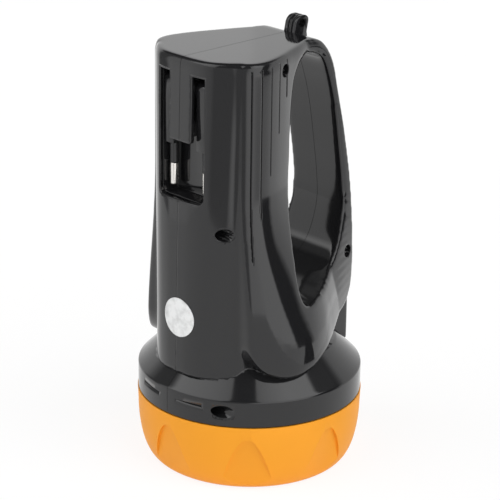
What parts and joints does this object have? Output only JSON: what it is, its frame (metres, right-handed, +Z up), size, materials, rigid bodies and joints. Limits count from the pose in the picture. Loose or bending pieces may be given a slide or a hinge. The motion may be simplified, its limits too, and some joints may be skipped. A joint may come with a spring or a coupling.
{
  "type": "rechargeable hand lamp",
  "caption": "Rechargeable hand lamp with a loop handle, a yellow bezel over a round head, a lanyard eye and a mains plug that folds out of a recess in its back.",
  "frame": {"origin": "centre of the bezel's rim, on the plane that the lamp rests on face down, on the light's axis", "axes": "+Z up along the light's axis, away from the lens; +X to the handle's grip; -X to the plug; the housing halves meet on Y = 0, with the screws on the -Y side"},
  "size_m": [0.102, 0.102, 0.2006],
  "materials": {
    "black_gloss": "glossy moulded ABS",
    "black_satin": "satin moulded plastic",
    "yellow": "satin moulded plastic",
    "clear": "clear moulded window",
    "rubber": "matt",
    "reflector_coat": "vacuum metallised",
    "phosphor": "soft dome over yellow phosphor",
    "white_board": "white solder mask",
    "green_board": "green solder mask",
    "aluminium": "plain",
    "steel": "zinc plated",
    "nickel": "bright nickel plated",
    "brass": "plain",
    "battery_case": "plain moulded case",
    "blue_film": "dipped film",
    "silver_foil": "bare silver foil"
  },
  "bodies": {
    "case": {"near_housing": "black_gloss", "far_housing": "black_gloss", "top_screw": "steel", "body_screw": "steel", "handle_screw": "steel", "collar_back_screw": "steel", "collar_front_screw": "steel", "bezel_ring": "yellow", "lens_gasket": "rubber", "lens": "clear", "reflector": "reflector_coat", "led_board": "white_board", "led_emitter": "phosphor", "heat_sink": "aluminium", "plug_bay": "black_gloss", "near_plug_contact": "brass", "far_plug_contact": "brass", "battery": "battery_case", "near_terminal": "nickel", "far_terminal": "nickel", "charger_board": "green_board", "charger_capacitor": "blue_film", "charger_rectifier": "black_satin", "switch_body": "black_satin", "seal_sticker": "silver_foil"},
    "plug": {"plug_block": "black_gloss", "plug_axle": "steel", "near_pin_sleeve": "black_satin", "near_plug_pin": "nickel", "far_pin_sleeve": "black_satin", "far_plug_pin": "nickel"},
    "switch_slider": {"switch_knob": "black_satin"}
  },
  "joints": [
    {"name": "plug_fold", "type": "hinge", "parent": "case", "child": "plug", "pos_m": [-0.037, 0, 0.1801], "axis": [0, 1, 0], "range_deg": [0, 90]},
    {"name": "switch_slide", "type": "slide", "parent": "case", "child": "switch_slider", "axis": [0, 0, -1], "range_m": [0, 0.006]}
  ]
}
